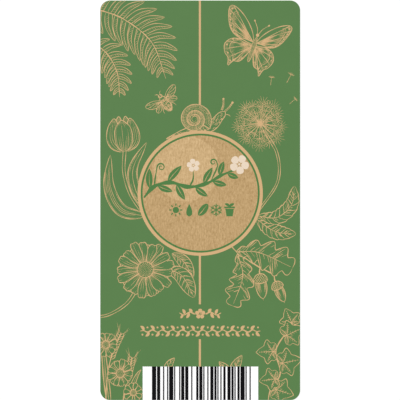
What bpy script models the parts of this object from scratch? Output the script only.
"""A die-cut card plant label, lying face up.

The card is one flat sheet, twice as tall as it is wide, with four round corners. Its printed face
points up (+Z) and its top edge points along +Y. The origin is the middle of the underside.
"""

import math

import bmesh
import bpy

# Driving dimensions, in metres
CARD_WIDTH = 0.064
CARD_HEIGHT = 2 * CARD_WIDTH
CARD_THICKNESS = 0.0005
CORNER_RADIUS = CARD_WIDTH / 20

# The cutting rule presses the arris round by this much, in this many steps
EDGE_ROUND = 0.00006
EDGE_STEPS = 2

# How finely a corner's arc is drawn, and how long its Bezier handles are for a quarter circle
CORNER_STEPS = 12
QUARTER_HANDLE = 4 / 3 * math.tan(math.pi / 8)

# Under this distance two points of a cap and its side are one
WELD_WITHIN = 0.000001
# Over this angle an edge stays sharp
SHARP_ANGLE = math.radians(40)

# The printed face's green, in linear light, and its satin surface
PRINT_GREEN = (0.109, 0.220, 0.082, 1.0)
CARD_ROUGHNESS = 0.55


def clear_scene():
    for old in list(bpy.data.objects):
        bpy.data.objects.remove(old)


def collection_named(name):
    made = bpy.data.collections.new(name)
    bpy.context.scene.collection.children.link(made)
    return made


def printed_card_material():
    material = bpy.data.materials.new("printed_card")
    material.use_nodes = True
    shader = material.node_tree.nodes["Principled BSDF"]
    shader.inputs["Base Color"].default_value = PRINT_GREEN
    shader.inputs["Roughness"].default_value = CARD_ROUGHNESS
    shader.inputs["Metallic"].default_value = 0.0
    return material


def corner_points():
    """Each corner's two tangent points, anticlockwise, with the direction of travel at each."""
    half_width = CARD_WIDTH / 2
    half_height = CARD_HEIGHT / 2
    inner_x = half_width - CORNER_RADIUS
    inner_y = half_height - CORNER_RADIUS
    right, up, left, down = (1, 0), (0, 1), (-1, 0), (0, -1)
    return [
        ((inner_x, -half_height), right, (half_width, -inner_y), up),
        ((half_width, inner_y), up, (inner_x, half_height), left),
        ((-inner_x, half_height), left, (-half_width, inner_y), down),
        ((-half_width, -inner_y), down, (-inner_x, -half_height), right),
    ]


def rounded_outline():
    """The card's outline as a closed 2D curve: four quarter circles joined by straight sides."""
    curve = bpy.data.curves.new("card_outline", "CURVE")
    curve.dimensions = "2D"
    curve.fill_mode = "BOTH"
    curve.extrude = CARD_THICKNESS / 2
    curve.resolution_u = CORNER_STEPS
    spline = curve.splines.new("BEZIER")
    corners = corner_points()
    spline.bezier_points.add(2 * len(corners) - 1)
    spline.use_cyclic_u = True
    handle = CORNER_RADIUS * QUARTER_HANDLE
    for number, (start, way_in, end, way_out) in enumerate(corners):
        first = spline.bezier_points[2 * number]
        last = spline.bezier_points[2 * number + 1]
        for point in (first, last):
            point.handle_left_type = "FREE"
            point.handle_right_type = "FREE"
        first.co = (*start, 0)
        first.handle_left = (*start, 0)
        first.handle_right = (start[0] + way_in[0] * handle, start[1] + way_in[1] * handle, 0)
        last.co = (*end, 0)
        last.handle_left = (end[0] - way_out[0] * handle, end[1] - way_out[1] * handle, 0)
        last.handle_right = (*end, 0)
    return curve


def solid_from_curve(name, curve):
    """The curve's filled body as a closed mesh: caps welded to the sides and flat faces merged."""
    guide = bpy.data.objects.new(name + "_guide", curve)
    bpy.context.scene.collection.objects.link(guide)
    graph = bpy.context.evaluated_depsgraph_get()
    mesh = bpy.data.meshes.new_from_object(guide.evaluated_get(graph))
    mesh.name = name
    bpy.data.objects.remove(guide)
    bpy.data.curves.remove(curve)
    body = bmesh.new()
    body.from_mesh(mesh)
    bmesh.ops.remove_doubles(body, verts=body.verts, dist=WELD_WITHIN)
    flat = math.radians(1)
    bmesh.ops.dissolve_limit(body, angle_limit=flat, verts=body.verts, edges=body.edges)
    bmesh.ops.recalc_face_normals(body, faces=body.faces)
    body.to_mesh(mesh)
    body.free()
    return mesh


def round_the_edges(card):
    """The pressed arris along both faces, which a flat-sided corner arc doesn't get."""
    bevel = card.modifiers.new("pressed_edge", "BEVEL")
    bevel.width = EDGE_ROUND
    bevel.segments = EDGE_STEPS
    bevel.limit_method = "ANGLE"
    bevel.angle_limit = SHARP_ANGLE
    bevel.use_clamp_overlap = True


def label_card(parts):
    """The whole label: one sheet of card, standing on its underside at Z = 0."""
    mesh = solid_from_curve("label_card", rounded_outline())
    card = bpy.data.objects.new("label_card", mesh)
    card.location = (0, 0, CARD_THICKNESS / 2)
    parts.objects.link(card)
    mesh.materials.clear()
    mesh.materials.append(printed_card_material())
    mesh.shade_smooth()
    mesh.set_sharp_from_angle(angle=SHARP_ANGLE)
    round_the_edges(card)
    return card


def main():
    clear_scene()
    parts = collection_named("plant_label")
    label_card(parts)


main()
